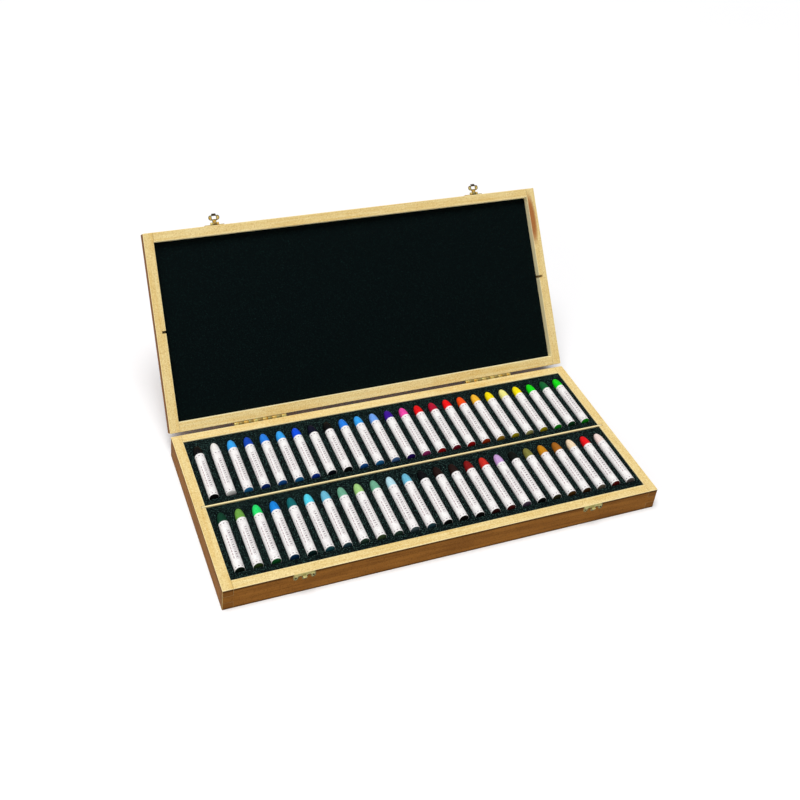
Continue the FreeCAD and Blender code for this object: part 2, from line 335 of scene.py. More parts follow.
class Finish:
    """A material with one Principled shader, whose nodes are added by type."""

    def __init__(self, name, **constants):
        self.material = bpy.data.materials.new(name)
        self.material.use_nodes = True
        self.tree = self.material.node_tree
        self.shader = self.tree.nodes["Principled BSDF"]
        for socket, value in constants.items():
            self.shader.inputs[socket.replace("_", " ").title().replace("Ior", "IOR")].default_value = value

    def node(self, kind, options=None, inputs=None, output=0):
        """A node of this type: its options first, then its sockets' values or links. Gives one output."""
        made = self.tree.nodes.new(kind)
        for key, value in (options or {}).items():
            setattr(made, key, value)
        for key, value in (inputs or {}).items():
            socket = made.inputs[key]
            if isinstance(value, Socket):
                self.tree.links.new(value.socket, socket)
            else:
                socket.default_value = (*value, 1.0) if socket.type == "RGBA" and len(value) == 3 else value
        return Socket(self, made.outputs[output])

    def mix(self, factor, low, high):
        """A colour between two others."""
        return self.node("ShaderNodeMix", {"data_type": "RGBA"}, {0: factor, 6: low, 7: high}, 2)

    def place(self, turn=None, scale=(1, 1, 1)):
        """Object coordinates, turned by a matrix and stretched."""
        spot = self.node("ShaderNodeTexCoord", output="Object")
        if turn is not None:
            location, rotation, _ = turn.decompose()
            spot = self.node("ShaderNodeMapping", inputs={
                0: spot, "Location": location, "Rotation": rotation.to_euler()})
        if tuple(scale) != (1, 1, 1):
            spot = self.node("ShaderNodeMapping", inputs={0: spot, "Scale": scale})
        return spot

    def axes(self, vector):
        """The three numbers of a vector."""
        parts = self.node("ShaderNodeSeparateXYZ", inputs={0: vector})
        return [Socket(self, parts.socket.node.outputs[index]) for index in range(3)]

    def noise(self, vector, scale, detail=3.0, roughness=0.5, distortion=0.0):
        """Cloudy noise from 0 to 1. The scale is in clouds for a metre."""
        return self.node("ShaderNodeTexNoise", inputs={
            "Vector": vector, "Scale": scale, "Detail": detail,
            "Roughness": roughness, "Distortion": distortion})

    def cells(self, vector, scale):
        """Distance to the nearest of many scattered points."""
        return self.node("ShaderNodeTexVoronoi", inputs={"Vector": vector, "Scale": scale})

    def attribute(self, name):
        """A number kept on the mesh."""
        return self.node("ShaderNodeAttribute", {"attribute_name": name}, output="Fac")

    def feed(self, bump=None, **sockets):
        """Links what varies over the surface to the shader. A bump is a height, its strength and its depth."""
        if bump:
            inputs = dict(zip(("Height", "Strength", "Distance"), bump))
            sockets["normal"] = self.node("ShaderNodeBump", inputs=inputs, output="Normal")
        for name, value in sockets.items():
            self.tree.links.new(value.socket, self.shader.inputs[name.replace("_", " ").title()])
        return self.material


def wood_finish(name, wood, grain, turn=None, layered=False, streaked=False):
    """Fine pale wood with its grain along an axis, sanded inside and darker brown outside, partly a deeper tone and
    partly painted shade; painted light on the inner faces, a painted highlight on the rims' eased edges.
    """
    finish = Finish(name, specular_ior_level=0.03)
    spot = finish.place(turn)
    along = "XYZ".index(grain)
    streak_spot, fleck_spot = (
        finish.place(turn, [stretch if axis == along else 1.0 for axis in range(3)]) for stretch in (0.045, 0.16))
    axes = finish.axes(spot)
    across, depth = axes[(along + 1) % 3], axes[(along + 2) % 3]

    streaks = finish.noise(streak_spot, 330, 7, 0.62, 0.25)
    drift = finish.noise(streak_spot, 42, 3, 0.5)
    rings = ((across * 900 + depth * 640 + drift * 46).sine() * 0.5 + 0.5) ** 2.2
    flecks = finish.noise(fleck_spot, 1500, 2, 0.5).step(0.6, 0.72)
    pores = finish.noise(fleck_spot, 3600, 2, 0.6).step(0.58, 0.7)
    mottle = finish.noise(spot, 34, 3, 0.55)
    grit = finish.noise(spot, 760, 2, 0.6)

    ends = finish.attribute("end_grain")
    outside = finish.attribute("outside")
    eased = finish.attribute("eased")
    depth_of_grain = (streaks.step(0.34, 0.7) * 0.55 + rings * 0.34 + mottle.step(0.35, 0.7) * 0.25)
    sanded = finish.mix(depth_of_grain, wood.pale, wood.honey)
    sanded = finish.mix(grit.step(0.52, 0.7) * 0.36, sanded, wood.tan)
    sanded = finish.mix(grit.step(0.46, 0.3) * 0.35, sanded, wood.highlight_and_pale_flecks)
    # Outer faces: partly a deeper brown tone, partly painted shade.
    outer_tone_and_shade = finish.mix(depth_of_grain + pores * 0.2, wood.tan, wood.chestnut)
    outer_tone_and_shade = finish.mix(grit.step(0.5, 0.68) * 0.4, outer_tone_and_shade, wood.edge_shade)
    base = finish.mix(outside, sanded, outer_tone_and_shade)
    base = finish.mix(flecks * 0.22, base, wood.chestnut)
    base = finish.mix(pores * 0.1, base, wood.chestnut)
    base = finish.mix(ends * (outside * 0.35 + 0.3), base, wood.chestnut)
    if layered:
        ply = 1.0 * MM
        plies = ((depth if grain == "X" else across) / ply).part().band(0.5, 0.2, 0.1)
        base = finish.mix(plies * ends * 0.5, base, wood.chestnut)
    # An orange-brown patch near the top of the lid's right wall, on its rim and inner face.
    if streaked:
        middle, half = (0.2146, -0.066), (0.0052, 0.029)
        reach = sum(((axes[axis] - middle[axis]) / half[axis]) ** 2 for axis in range(2))
        base = finish.mix((reach + drift * 0.5).step(1.6, 0.4) * (1 - outside) * 0.85, base, wood.right_wall_patch)
    # Painted light on the inner wall faces and the divider.
    base = finish.mix(finish.attribute("pale"), base, wood.highlight_and_pale_flecks)
    rim_band, foot_band, soft = 2.8 * MM, 1.8 * MM, 0.5 * MM
    rims = axes[2].band(rim_height, rim_band, soft)
    feet = axes[2].band(lid_top_height if turn else 0.0, foot_band, soft)
    base = finish.mix((rims + feet) * finish.attribute("side") * 0.85, base, wood.edge_shade)
    base = finish.mix(finish.attribute("shaded"), base, wood.edge_shade)
    # Painted highlight along the rims' eased edges.
    base = finish.mix(eased * 0.4, base, wood.highlight_and_pale_flecks)
    roughness = 0.5 + streaks * 0.16 + pores * 0.1
    height = streaks * 0.5 + rings * 0.3 - pores * 0.4 - flecks * 0.2
    return finish.feed((height, 0.5, 0.12 * MM), base_color=base, roughness=roughness)


def foam_finish(name, ground, speck, cell, turn=None):
    """Dark open-cell foam: small pits, with cell walls that catch the light."""
    finish = Finish(name, specular_ior_level=0.06)
    spot = finish.place(turn)
    cells = finish.cells(spot, 1 / cell)
    fine = finish.noise(spot, 0.8 / cell, 2, 0.6)
    patches = finish.noise(spot, 0.16 / cell, 2, 0.5)
    glints = (fine.step(0.53, 0.72) * (0.4 + patches)) * cells.step(0.15, 0.5)
    base = finish.mix(glints, ground, speck)
    roughness = 0.82 + fine * 0.14
    height = cells * 0.8 + fine * 0.5
    return finish.feed((height, 0.7, 0.35 * MM), base_color=base, roughness=roughness)


def pigment_finish(name, shade):
    """Pressed oily pigment: one strong colour with faint drag marks and a soft shine."""
    finish = Finish(name, coat_roughness=0.4, specular_ior_level=0.12)
    spot = finish.place()
    drag = finish.noise(finish.place(scale=(1, 0.14, 1)), 1300, 4, 0.6)
    crumbs = finish.noise(spot, 2600, 3, 0.65)
    darker = tuple(value * 0.74 for value in shade)
    paler = tuple(min(1.0, value * 1.05 + 0.002) for value in shade)
    base = finish.mix(drag.step(0.3, 0.72), darker, paler)
    base = finish.mix(crumbs.step(0.66, 0.8) * 0.3, base, paler)
    # Painted shade: the flat ends, which face the front, are darkened towards a near-black of their colour.
    base = finish.mix(finish.attribute("flat_end"), base, tuple(value * 0.06 for value in shade))
    roughness = 0.46 + drag * 0.22
    height = drag * 0.6 + crumbs * 0.4
    return finish.feed(
        (height, 0.45, 0.12 * MM), base_color=base, roughness=roughness, coat_weight=0.02 + drag * 0.04)


def paper_finish(name, sticks):
    """Off-white label paper with a printed chain of lozenges along it, dots beside it and ticks near its edges."""
    finish = Finish(name, specular_ior_level=0.2)
    around, along, _ = finish.axes(finish.node("ShaderNodeUVMap", {"uv_map": "paper"}))
    spot = finish.place()
    fibre = finish.noise(spot, 1500, 4, 0.6)
    mottle = finish.noise(spot, 620, 3, 0.6)

    # around runs 0 to 1 round the stick; across, along and the numbers beside them are in millimetres
    across = (around - 0.5) * (2 * math.pi * sticks.wrapper_radius / MM)
    pitch, half_long, half_wide, bead_place = 2.9, 0.95, 1.75, 1.1
    beat = along / pitch
    size = (beat.whole() * 2.399).sine() * 0.22 + 1
    lozenge = abs(beat.part() - 0.5) * (pitch / half_long) + abs(across) / half_wide
    lozenge = lozenge.step(1.08, 0.72) * size
    bead = abs(((beat + 0.5).part() - 0.5) * pitch).step(0.42, 0.26) * abs(abs(across) - bead_place).step(0.5, 0.3)
    chain = (lozenge + bead * 0.8) * along.band(28.5, 18.0, 0.4)
    dots = (along / 2.3).part().band(0.5, 0.28, 0.06) * across.band(3.2, 0.5, 0.15) * along.band(31.0, 14.5, 0.3)
    dashes = (along / 3.7).part().band(0.5, 0.36, 0.05) * across.band(-3.3, 0.4, 0.12) * along.band(26.0, 15.5, 0.3)
    ticks = (across / 3.3).part().band(0.5, 0.2, 0.06) * (along.band(2.3, 0.5, 0.15) + along.band(54.6, 0.5, 0.15))
    ring = along.band(4.4, 0.12, 0.08) + along.band(52.6, 0.12, 0.08)
    seam = around.band(0.035, 0.004, 0.003)

    base = finish.mix(mottle.step(0.38, 0.68) * 0.5, sticks.paper_white, sticks.paper_shade)
    base = finish.mix(chain * 0.72, base, sticks.print_grey)
    base = finish.mix((dots + dashes) * 0.75, base, sticks.print_rose)
    base = finish.mix(ring * 0.3, base, sticks.print_grey)
    base = finish.mix(ticks * 0.85, base, sticks.print_grey)
    # Painted shade along the paper's overlap.
    base = finish.mix(seam * 0.5, base, sticks.paper_shade)
    roughness = 0.6 + fibre * 0.2
    height = fibre * 0.5 + mottle * 0.6 - seam * 0.8
    return finish.feed((height, 0.4, 0.1 * MM), base_color=base, roughness=roughness)


def brass_finish(name, metal, highlight_paleness, darkening, turn=None):
    """Thin plated brass: greenish and paler in cloudy patches and by a painted highlight, brown in spots and where
    darkened.
    """
    finish = Finish(name, metallic=0.35, specular_ior_level=0.3)
    spot = finish.place(turn)
    clouds = finish.noise(spot, 420, 4, 0.6)
    stains = finish.noise(spot, 1100, 5, 0.7).step(0.52, 0.74)
    scratches = finish.noise(finish.place(turn, (0.1, 1, 1)), 2600, 2, 0.5)
    # Greenish pale brass in cloudy patches is the brass's own tone; the overall paleness is a painted highlight.
    base = finish.mix(clouds.step(0.35, 0.68) * (1 - highlight_paleness) + highlight_paleness, metal.gold, metal.green_gold)
    # Brown in spots, and darker all over by the darkening given.
    base = finish.mix(stains * (0.5 - darkening) + darkening, base, metal.dark_brass)
    base = finish.mix(finish.attribute("tarnished"), base, metal.dark_brass)
    roughness = 0.42 + clouds * 0.16 + stains * 0.2
    height = scratches * 0.4 + clouds * 0.6
    return finish.feed((height, 0.25, 0.08 * MM), base_color=base, roughness=roughness)


# Making pieces


def settings(group):
    """One group of this scene's settings."""
    return getattr(bpy.context.scene, "pastel_case_" + group)


def finished(name, make, *arguments):
    """The material of this name, made the first time that it is asked for."""
    return bpy.data.materials.get(name) or make(name, *arguments)


def new_piece(name, mesh_maker, body, materials, replaced=(), sharp=None):
    """Puts a finished shape in the scene as a piece that rides on a body, in place of CAD nodes."""
    mesh = bpy.data.meshes.new(name)
    mesh_maker.to_mesh(mesh)
    mesh_maker.free()
    for material in materials:
        mesh.materials.append(material)
    if sharp is not None:
        mesh.shade_smooth()
        mesh.set_sharp_from_angle(angle=sharp)
    piece = bpy.data.objects.new(name, mesh)
    bpy.context.scene.collection.objects.link(piece)
    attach(piece, body)
    if replaced:
        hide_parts(*replaced)
    return piece


def dress(node, material):
    """Gives a CAD solid that stays in the picture this material."""
    materials = frame["nodes"][node].data.materials
    materials.clear()
    materials.append(material)


def everything(shape):
    """All of a shape's parts, as bmesh's operators take them."""
    return list(shape.verts) + list(shape.edges) + list(shape.faces)


def eased_edges(shape, edges, width, segments, affect="EDGES"):
    """Rounds these edges off, or these corners of a flat face, and gives the new faces."""
    made = bmesh.ops.bevel(
        shape, geom=edges, offset=width, offset_type="OFFSET", segments=segments, profile=0.5,
        affect=affect, clamp_overlap=True, material=-1)
    return made["faces"]


def flat_face(shape, points):
    """Adds a face through these points and gives its vertices."""
    verts = [shape.verts.new(point) for point in points]
    shape.faces.new(verts)
    return verts


def shifted(shape, grown, step):
    """Moves the vertices that an extrusion made."""
    verts = [item for item in grown["geom"] if isinstance(item, bmesh.types.BMVert)]
    bmesh.ops.translate(shape, verts=verts, vec=step)


def thickened(shape, step):
    """Extrudes a flat shape into a closed one."""
    shifted(shape, bmesh.ops.extrude_face_region(shape, geom=list(shape.faces)), step)
    outward(shape)


def sharp_edges(shape, bend=0.7):
    """The edges whose faces meet at more than this angle, in radians."""
    return [edge for edge in shape.edges if edge.is_manifold and edge.calc_face_angle() > bend]


def outward(shape):
    """Merges what lies together and turns all faces outwards."""
    bmesh.ops.remove_doubles(shape, verts=shape.verts, dist=1e-6)
    bmesh.ops.recalc_face_normals(shape, faces=shape.faces)


def merged(node, turn=None):
    """A CAD node's mesh with its corners joined and its flat faces whole."""
    shape = bmesh.new()
    shape.from_mesh(frame["nodes"][node].data)
    if turn is not None:
        shape.transform(turn)
    bmesh.ops.remove_doubles(shape, verts=shape.verts, dist=2e-6)
    bmesh.ops.dissolve_limit(
        shape, angle_limit=math.radians(1), verts=shape.verts, edges=shape.edges, delimit=set())
    return shape


def block(shape, low, high):
    """Adds a box between two corners and gives its vertices."""
    low, high = Vector(low), Vector(high)
    placed = Matrix.Translation((low + high) / 2) @ Matrix.Diagonal((*(high - low), 1))
    return bmesh.ops.create_cube(shape, size=1, matrix=placed)["verts"]


def barrel(shape, radius, start, end, segments, ease):
    """Adds a rod along X with eased ends."""
    placed = Matrix.Translation(((start + end) / 2, 0, 0)) @ Matrix.Rotation(math.pi / 2, 4, "Y")
    verts = bmesh.ops.create_cone(
        shape, cap_ends=True, segments=segments, radius1=radius, radius2=radius,
        depth=end - start, matrix=placed)["verts"]
    rims = {e for v in verts for e in v.link_edges if abs(e.verts[0].co.x - e.verts[1].co.x) < 1e-9}
    eased_edges(shape, list(rims), ease, 2)


def dark_brass(shape, amount, chosen):
    """Darkens the brass of the faces whose middles pass a test."""
    layers = shape.faces.layers.float
    dark = layers.get("tarnished") or layers.new("tarnished")
    for face in shape.faces:
        if chosen(face.calc_center_median()):
            face[dark] = amount


def cut_sheet(shape, side, front, back, rounding, ease, window=None, ring=0.0, notch=None):
    """Adds a sheet, alike on both sides of x = 0, from the (x, z) points of its right edge, between two depths.

    A window of this half width, low and high is cut in it, a notch of this half width and height is cut where
    the sheet starts, and a dark ring is pressed round both its faces, where they are given.
    """
    start = [(0, notch[1]), notch, (notch[0], side[0][1])] if notch else [(0, side[0][1])]
    points = [*start, *side, (0, side[-1][1])]
    if window:
        half, low, high = window
        steps = (low, high) if side[0][1] > side[-1][1] else (high, low)
        points += [(0, steps[0]), (half, steps[0]), (half, steps[1]), (0, steps[1])]
    sheet = bmesh.new()
    verts = flat_face(sheet, [(x, front, z) for x, z in points])
    corners = verts[len(start):len(start) + len(side)]
    for chosen, radius in ((corners, rounding), (verts[-3:-1] if window else [], rounding * 0.4)):
        if chosen:
            eased_edges(sheet, chosen, radius, 4, "VERTICES")
    bmesh.ops.mirror(sheet, geom=everything(sheet), merge_dist=1e-7, axis="X")
    bmesh.ops.remove_doubles(sheet, verts=sheet.verts, dist=1e-6)
    thickened(sheet, (0, back - front, 0))
    eased_edges(sheet, sharp_edges(sheet), ease, 2)
    outward(sheet)
    if ring:
        dark = sheet.faces.layers.float.new("tarnished")
        for way in (-1, 1):
            flat = [face for face in sheet.faces if face.normal.y * way > 0.99]
            pressed = bmesh.ops.inset_region(
                sheet, faces=flat, thickness=ring, depth=-ring * 0.25, use_boundary=True, use_even_offset=True)
            for face in pressed["faces"]:
                face[dark] = 0.85
    add_shape(shape, sheet)


def add_shape(shape, other, turn=None):
    """Adds a copy of another shape, and frees it unless it is placed by a matrix."""
    carrier = bpy.data.meshes.new("carrier")
    other.to_mesh(carrier)
    if turn is None:
        other.free()
    else:
        carrier.transform(turn)
    shape.from_mesh(carrier)
    bpy.data.meshes.remove(carrier)


# Boards


def is_case_edge(edge, rim, far):
    """Whether an edge of a shut case is one that a hand meets, and not part of a corner joint."""
    middle = (edge.verts[0].co + edge.verts[1].co) / 2
    line = edge.verts[1].co - edge.verts[0].co
    near = 5e-6
    on_rim = abs(middle.z - rim) < near
    outer = [
        abs(abs(middle.x) - half_length) < near, abs(abs(middle.y) - half_depth) < near,
        abs(middle.z - far) < near, on_rim,
    ]
    if sum(outer) >= 2:
        return True
    inside_x = abs(abs(middle.x) - inner_length) < near and abs(middle.y) < inner_depth
    inside_y = abs(abs(middle.y) - inner_depth) < near and abs(middle.x) < inner_length
    return on_rim and (inside_x and abs(line.y) > near or inside_y and abs(line.x) > near)


def mark_faces(shape, marks, far, grain, between_rows):
    """Keeps on each face whether it is outside, end grain or an inner face that gets painted light."""
    along = "XYZ".index(grain)
    upward = 1 if far > rim_height else -1
    for face in shape.faces:
        middle, normal = face.calc_center_median(), face.normal
        face[marks["outside"]] = float(
            abs(middle.x) > half_length - 2e-5 and abs(normal.x) > 0.9
            or abs(middle.y) > half_depth - 2e-5 and abs(normal.y) > 0.9
            or abs(middle.z - far) < 2e-5 and normal.z * upward > 0.9)
        face[marks["side"]] = float(face[marks["outside"]] and abs(normal.z) < 0.1)
        face[marks["end_grain"]] = float(abs(normal[along]) > 0.9)
        from_wall = min(abs(abs(middle.x) - inner_length), abs(abs(middle.y) - inner_depth))
        # Painted light: the inner wall faces, and all of the divider's, are lightened against the shade that falls
        # on them, the lid's most.
        if from_wall < 5e-5 or between_rows:
            face[marks["pale"]] = 0.9 if far > rim_height else 0.5


def make_board(node, grain, finish, lid):
    """A board of the case with eased edges, in place of its CAD node."""
    wood = settings("wood")
    rim, far = (lid_rim_height, lid_top_height) if lid else (rim_height, 0.0)
    shape = merged(node, shut if lid else None)
    for side in (-1, 1):
        for plane in ((side * inner_length, 0, 0), (0, side * inner_depth, 0)):
            bmesh.ops.bisect_plane(
                shape, geom=everything(shape), dist=1e-6, plane_co=plane, plane_no=Vector(plane).normalized())
    names = ("outside", "side", "end_grain", "eased", "shaded", "pale")
    marks = {name: shape.faces.layers.float.new(name) for name in names}
    handled = [edge for edge in sharp_edges(shape) if is_case_edge(edge, rim, far)]
    # Eased edges at the rims are marked for a painted highlight, the other eased edges and the joint edges for
    # painted shade.
    for face in eased_edges(shape, handled, wood.eased_edge, 3):
        at_rim = abs(face.calc_center_median().z - rim) < wood.eased_edge
        face[marks["eased" if at_rim else "shaded"]] = 1.0 if at_rim else 0.5
    for face in eased_edges(shape, sharp_edges(shape), wood.joint_edge, 1):
        face[marks["shaded"]] = 0.6
    mark_faces(shape, marks, far, grain, node == "row_divider")
    if lid:
        shape.transform(swung_open)
    return new_piece(node + "_board", shape, "lid" if lid else "base", [finish], [node])


class PASTEL_CASE_OT_boards(bpy.types.Operator):
    """Add the walls, the floor, the lid's panel and the divider"""

    bl_idname = "pastel_case.boards"
    bl_label = "Boards"

    def execute(self, context):
        wood = settings("wood")
        for half, turn in (("base", None), ("lid", shut)):
            along_x = finished("wood_grain_along_" + half, wood_finish, wood, "X", turn)
            along_y = finished("wood_grain_across_" + half, wood_finish, wood, "Y", turn, False, half == "lid")
            for side in ("front", "back"):
                make_board(f"{half}_{side}_wall", "X", along_x, half == "lid")
            for side in ("left", "right"):
                make_board(f"{half}_{side}_wall", "Y", along_y, half == "lid")
            panel = "base_floor" if half == "base" else "lid_panel"
            layered = finished("plywood_" + half, wood_finish, wood, "X", turn, True)
            make_board(panel, "X", layered, half == "lid")
        strip = finished("wood_strip", wood_finish, wood, "X", None, True)
        make_board("row_divider", "X", strip, False)
        return {"FINISHED"}


# Foam


def slot_face(shape, foam, sticks):
    """One pastel's outline as a flat face at the origin, narrowing round the tip."""
    flat_corner, tip_corner = 0.9 * MM, 1.3 * MM
    half = sticks.wrapper_radius + foam.slot_play + foam.lip
    tip, end = sticks.tip_length, sticks.stick_length + 2 * foam.end_play + foam.lip
    side = [
        (half, -foam.lip), (half, end - tip - foam.lip), (half * 0.87, end - tip * 0.5),
        (half * 0.58, end - tip * 0.17), (half * 0.27, end),
    ]
    corners = side + [(-x, y) for x, y in reversed(side)]
    verts = flat_face(shape, [(x, y, 0) for x, y in corners])
    eased_edges(shape, [verts[0], verts[-1]], flat_corner, 3, "VERTICES")
    round_tip = [v for v in shape.verts if v.co.y > end - tip - 2 * foam.lip]
    eased_edges(shape, round_tip, tip_corner, 3, "VERTICES")


def slot_pitch():
    """The distance from one pastel to the next."""
    low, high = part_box("foam_tray_back")
    return (high.x - low.x - 2 * settings("foam").row_margin) / (len(ROWS["back"]) - 1)


def row_start(row):
    """The y of the front end of a row's slots."""
    foam, sticks = settings("foam"), settings("sticks")
    low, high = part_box("foam_tray_" + row)
    spare = high.y - low.y - sticks.stick_length - 2 * foam.end_play
    return low.y + foam.margin_share * spare


def slot_place(index):
    """The x of a slot, counted from 0 at the left."""
    return (index - (len(ROWS["back"]) - 1) / 2) * slot_pitch()


def make_tray(row, finish):
    """A foam tray with a soft-edged slot for each pastel, in place of its CAD node."""
    foam, sticks = settings("foam"), settings("sticks")
    low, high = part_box("foam_tray_" + row)
    tray, slot = bmesh.new(), bmesh.new()
    slot_face(slot, foam, sticks)
    for index in range(len(ROWS[row])):
        add_shape(tray, slot, Matrix.Translation((slot_place(index), row_start(row), high.z)))
    slot.free()
    slots = list(tray.faces)
    corners = [(low.x, low.y), (high.x, low.y), (high.x, high.y), (low.x, high.y)]
    rim = [tray.verts.new((x, y, high.z)) for x, y in corners]
    for index in range(4):
        tray.edges.new((rim[index - 1], rim[index]))
    bmesh.ops.triangle_fill(
        tray, use_beauty=True, use_dissolve=False, edges=list(tray.edges), normal=(0, 0, 1))
    for depth in (0.35, 0.65):
        bmesh.ops.inset_region(
            tray, faces=slots, thickness=foam.lip / 2, depth=-foam.lip * depth,
            use_boundary=True, use_even_offset=True)
    sunk = bmesh.ops.extrude_face_region(tray, geom=slots)
    bmesh.ops.delete(tray, geom=[face for face in slots if face.is_valid], context="FACES_ONLY")
    shifted(tray, sunk, (0, 0, foam.lip - sticks.wrapper_radius))
    border = [edge for edge in tray.edges if edge.is_boundary]
    shifted(tray, bmesh.ops.extrude_edge_only(tray, edges=border), (0, 0, low.z - high.z))
    bmesh.ops.edgeloop_fill(tray, edges=[edge for edge in tray.edges if edge.is_boundary])
    outward(tray)
    piece = new_piece(
        "foam_" + row + "_bed", tray, "base", [finish], ["foam_tray_" + row], math.radians(40))


class PASTEL_CASE_OT_foam(bpy.types.Operator):
    """Add the two foam trays and the pad in the lid"""

    bl_idname = "pastel_case.foam"
    bl_label = "Foam"

    def execute(self, context):
        foam = settings("foam")
        finish = finished("foam_tray", foam_finish, foam.foam, foam.speck, 0.85 * MM)
        for row in ROWS:
            make_tray(row, finish)
        pad = merged("lid_lining", shut)
        eased_edges(pad, sharp_edges(pad), foam.pad_edge, 4)
        pad.transform(swung_open)
        felt = finished("lid_pad", foam_finish, foam.pad, foam.pad_speck, 0.8 * MM, shut)
        piece = new_piece("lid_pad", pad, "lid", [felt], ["lid_lining"], math.radians(40))
        return {"FINISHED"}


# Pastels


def lie(row, index):
    """How one pastel lies in its slot: its place, its turn about itself and its small stray."""
    sticks = settings("sticks")
    chance = random.Random(f"{sticks.seed} {row} {index}")
    y = row_start(row) + settings("foam").end_play + chance.uniform(-1, 1) * sticks.stray
    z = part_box("foam_tray_" + row)[1].z
    turn = Matrix.Rotation(math.radians(chance.uniform(-14, 14)), 4, "Y")
    return Matrix.Translation((slot_place(index), y, z)) @ turn


def stick_shape(sticks):
    """A pastel without its paper: a round stick with a bullet tip, spun from its outline."""
    radius = sticks.wrapper_radius - sticks.paper
    shoulder = sticks.stick_length - sticks.tip_length
    bevel, fullness, bluntness = 0.35 * MM, 2.7, 0.52
    outline = [(0, 0), (0, radius * 0.93), (bevel, radius), (shoulder * 0.5, radius), (shoulder, radius)]
    for step in (0.17, 0.33, 0.48, 0.62, 0.74, 0.84, 0.91, 0.96, 0.99):
        outline.append((shoulder + step * sticks.tip_length, radius * (1 - step ** fullness) ** bluntness))
    outline.append((sticks.stick_length, 0))
    shape = bmesh.new()
    verts = [shape.verts.new((0, y, z)) for y, z in outline]
    edges = [shape.edges.new(pair) for pair in zip(verts, verts[1:])]
    bmesh.ops.spin(
        shape, geom=verts + edges, axis=(0, 1, 0), cent=(0, 0, 0), angle=2 * math.pi,
        steps=28, use_merge=True)
    outward(shape)
    flat_end = shape.faces.layers.float.new("flat_end")
    for face in shape.faces:
        face[flat_end] = float(face.calc_center_median().y < bevel * 0.86)
    return shape


def wrapper_shape(sticks):
    """A tube of paper with its own UV map: once round the stick, and millimetres along it."""
    start, end = sticks.paper_start, sticks.stick_length - sticks.tip_length
    shape = bmesh.new()
    placed = Matrix.Translation((0, (start + end) / 2, 0)) @ Matrix.Rotation(-math.pi / 2, 4, "X")
    bmesh.ops.create_cone(
        shape, cap_ends=False, segments=36, radius1=sticks.wrapper_radius, radius2=sticks.wrapper_radius,
        depth=end - start, matrix=placed)
    bmesh.ops.recalc_face_normals(shape, faces=shape.faces)
    paper = shape.loops.layers.uv.new("paper")
    for face in shape.faces:
        middle = face.calc_center_median()
        centre = math.atan2(middle.x, middle.z) / (2 * math.pi)
        for loop in face.loops:
            turn = math.atan2(loop.vert.co.x, loop.vert.co.z) / (2 * math.pi)
            turn += round(centre - turn)
            loop[paper].uv = (turn + 0.5, loop.vert.co.y / MM)
    bmesh.ops.solidify(shape, geom=list(shape.faces), thickness=sticks.paper)
    return shape


def end_share(group, row):
    """How much of the end's shade a pastel takes: a white one least, the front row all of it."""
    if group == "white":
        return 0.3
    return 1.0 if row == "front" else 0.72


class PASTEL_CASE_OT_sticks(bpy.types.Operator):
    """Add the bare pastels, one piece for each colour group"""

    bl_idname = "pastel_case.sticks"
    bl_label = "Pastels"

    def execute(self, context):
        sticks = settings("sticks")
        stick = stick_shape(sticks)
        groups = {}
        for row, pigments in ROWS.items():
            for index, pigment in enumerate(pigments):
                groups.setdefault(PIGMENTS[pigment][0], []).append((row, index, pigment))
        for group, places in groups.items():
            shape, materials = bmesh.new(), []
            for row, index, pigment in places:
                shade = tuple(getattr(settings("pigments"), pigment))
                material = finished("pigment_" + pigment, pigment_finish, shade)
                if material not in materials:
                    materials.append(material)
                count = len(shape.faces)
                add_shape(shape, stick, lie(row, index))
                shape.faces.ensure_lookup_table()
                flat_end = shape.faces.layers.float["flat_end"]
                for face in shape.faces[count:]:
                    face.material_index = materials.index(material)
                    # The flat ends' painted shade is strongest in the front row and weakest on white.
                    face[flat_end] *= sticks.end_shade * end_share(group, row)
            new_piece(
                "stick_" + group, shape, "base", materials,
                ["pastels_" + group], math.radians(50))
        stick.free()
        return {"FINISHED"}


class PASTEL_CASE_OT_wrappers(bpy.types.Operator):
    """Add the printed paper round the pastels, one piece for each row"""

    bl_idname = "pastel_case.wrappers"
    bl_label = "Wrappers"

    def execute(self, context):
        sticks = settings("sticks")
        paper = finished("wrapper_paper", paper_finish, sticks)
        tube = wrapper_shape(sticks)
        for row, pigments in ROWS.items():
            shape = bmesh.new()
            for index in range(len(pigments)):
                add_shape(shape, tube, lie(row, index))
            new_piece("wrappers_" + row, shape, "base", [paper], (), math.radians(50))
        tube.free()
        return {"FINISHED"}


# Hinges


def screw_head(shape, metal, x, y, z, turn):
    """Adds a slotted screw head that looks along +Y."""
    head = bmesh.new()
    radius, rise = metal.screw_radius, metal.screw_rise
    bmesh.ops.create_cone(
        head, cap_ends=True, segments=24, radius1=radius, radius2=radius, depth=rise * 0.5,
        matrix=Matrix.Translation((0, 0, rise * 0.25)))
    for side in (-1, 1):
        half = bmesh.new()
        bmesh.ops.create_circle(half, cap_ends=True, segments=24, radius=radius)
        bmesh.ops.bisect_plane(
            half, geom=everything(half), dist=1e-7, plane_co=(0, side * radius * 0.16, 0),
            plane_no=(0, -side, 0), clear_outer=True)
        thickened(half, (0, 0, rise))
        rims = [edge for edge in sharp_edges(half) if min(vert.co.z for vert in edge.verts) > rise * 0.9]
        eased_edges(half, rims, rise * 0.35, 2)
        add_shape(head, half)
    outward_turn = Matrix.Rotation(-math.pi / 2, 4, "X") @ Matrix.Rotation(turn, 4, "Z")
    add_shape(shape, head, Matrix.Translation((x, y, z)) @ outward_turn)
    head.free()


